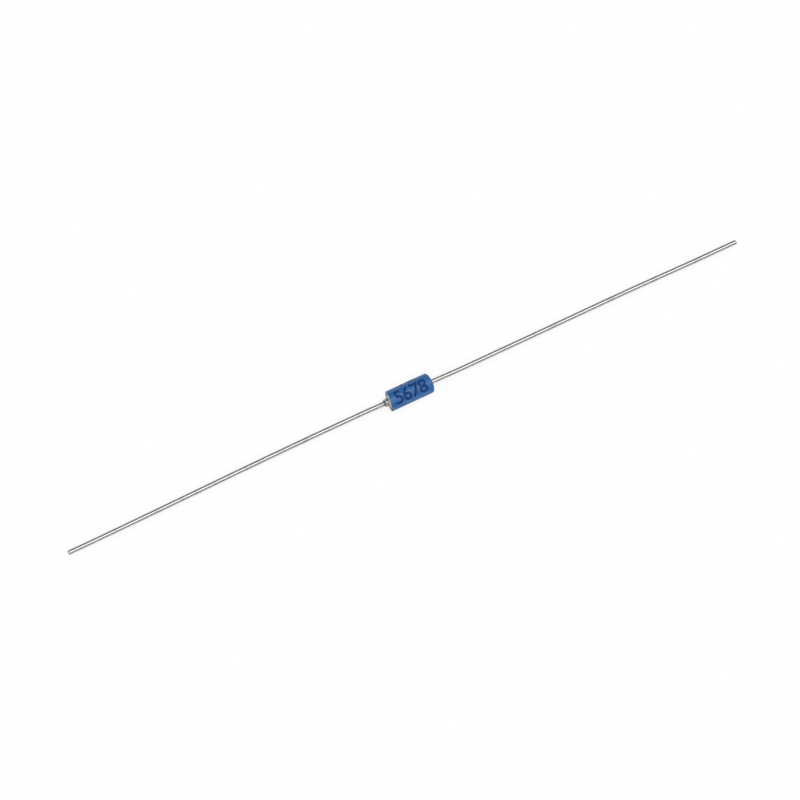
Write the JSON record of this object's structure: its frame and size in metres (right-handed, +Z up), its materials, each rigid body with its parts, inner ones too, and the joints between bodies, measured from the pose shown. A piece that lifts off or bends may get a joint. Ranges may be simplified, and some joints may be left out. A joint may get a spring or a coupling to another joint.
{
  "type": "diac",
  "caption": "Bidirectional trigger device in a small blue-coated glass barrel, with straight tinned wire leads from its ends for through-hole soldering.",
  "frame": {"origin": "middle of the coated glass body, which is also midway between the lead tips", "axes": "+X along the leads, towards the fully coated end of the body; the bare glass end is on -X; +Z up when it lies on a board"},
  "size_m": [0.0726, 0.002, 0.002],
  "materials": {
    "sealing_glass": "polished",
    "blue_lacquer": "gloss",
    "dumet": "satin",
    "tinned_wire": "gloss",
    "silver": "satin",
    "silicon": "polished"
  },
  "bodies": {
    "root": {"glass_sleeve": "sealing_glass", "lacquer_coat": "blue_lacquer", "left_stud": "dumet", "right_stud": "dumet", "left_lead_wire": "tinned_wire", "right_lead_wire": "tinned_wire", "left_silver_bump": "silver", "right_silver_bump": "silver", "silicon_die": "silicon"}
  },
  "joints": []
}
